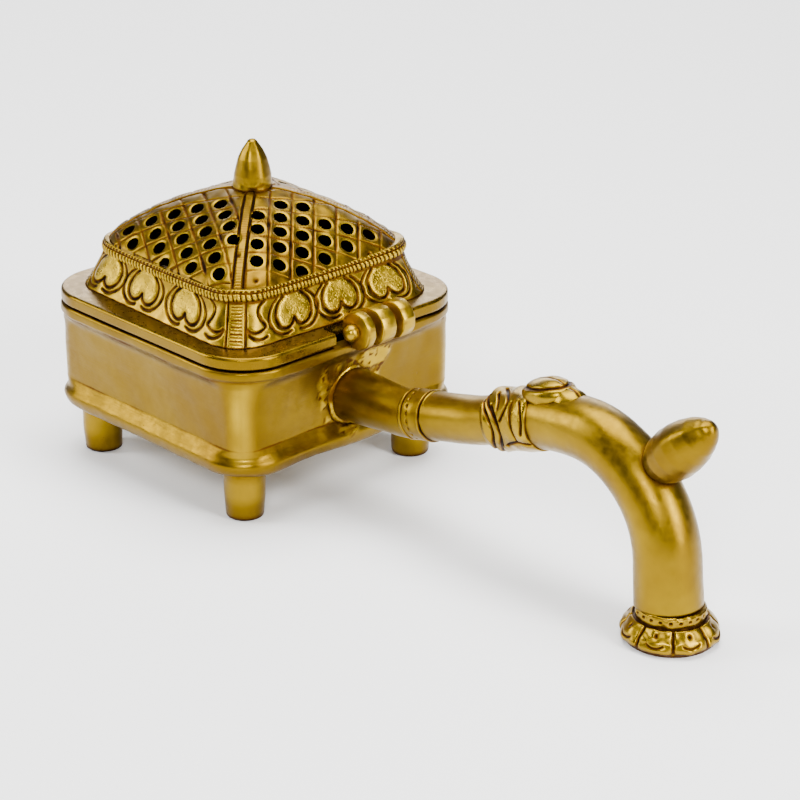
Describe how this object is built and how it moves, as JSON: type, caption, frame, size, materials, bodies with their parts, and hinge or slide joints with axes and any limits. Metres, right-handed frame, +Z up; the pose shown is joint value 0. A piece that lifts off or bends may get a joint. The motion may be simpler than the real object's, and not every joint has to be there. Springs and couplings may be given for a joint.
{
  "type": "hinged brass incense burner",
  "caption": "Footed square brass censer with a hinged, pierced domed lid and a side handle that bends down to a lotus-shaped foot.",
  "frame": {"origin": "on the standing surface, under the middle of the whole object's outline", "axes": "+X along the handle from the box towards the lotus foot, +Z up, +Y completes the right-handed frame"},
  "size_m": [0.2524, 0.102, 0.11],
  "materials": {
    "cast_brass": "satin cast and filed brass",
    "lid_brass": "satin filed brass",
    "carved_brass": "chased brass with dark patina in the grooves",
    "pierced_brass": "engraved and drilled brass",
    "handle_brass": "brushed and buffed brass",
    "hinge_brass": "filed brass",
    "braze_metal": "bright rough brazing metal"
  },
  "bodies": {
    "burner": {"box_body": "cast_brass", "foot_front_left": "cast_brass", "foot_front_right": "cast_brass", "foot_back_left": "cast_brass", "foot_back_right": "cast_brass", "hinge_lug_near": "hinge_brass", "hinge_lug_far": "hinge_brass", "hinge_pin": "hinge_brass", "handle_root_tube": "handle_brass", "braze_bead": "braze_metal", "handle_collar": "carved_brass", "handle_front_tube": "handle_brass", "knot_sleeve": "carved_brass", "handle_elbow": "handle_brass", "leaf_ornament": "carved_brass", "thumb_bud": "handle_brass", "lotus_foot": "carved_brass"},
    "lid": {"lid_flange": "lid_brass", "lid_skirt": "carved_brass", "rope_moulding": "carved_brass", "dome_screen": "pierced_brass", "finial": "handle_brass", "lid_knuckle": "hinge_brass"}
  },
  "joints": [
    {"name": "lid_hinge", "type": "hinge", "parent": "burner", "child": "lid", "pos_m": [-0.0227, 0.0066, 0.0586], "axis": [0, 1, 0], "range_deg": [0, 120]}
  ]
}
